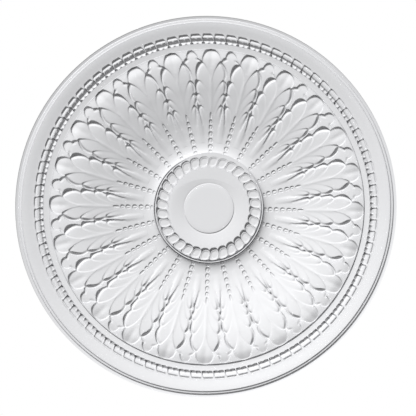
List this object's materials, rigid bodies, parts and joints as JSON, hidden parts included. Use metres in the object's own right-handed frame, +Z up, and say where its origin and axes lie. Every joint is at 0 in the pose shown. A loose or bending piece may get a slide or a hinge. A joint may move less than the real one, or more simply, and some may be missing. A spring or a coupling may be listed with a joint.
{
  "type": "ceiling rose",
  "caption": "Round white moulded ceiling rose: a wreath of lobed leaves between a gadrooned boss with a flat canopy disc and a tongue border with a stepped lip. Fixed by its flat back.",
  "frame": {"origin": "centre of the flat back, in the plane that is fixed to the ceiling", "axes": "+Z points up into the ceiling, out of the flat back; the ornament hangs below it and faces -Z; +Y runs along the axis of one large leaf"},
  "size_m": [0.7799, 0.78, 0.048],
  "materials": {
    "white_moulding": "matt white primer over a fine moulded skin"
  },
  "bodies": {
    "root": {"ceiling_rose": "white_moulding"}
  },
  "joints": []
}
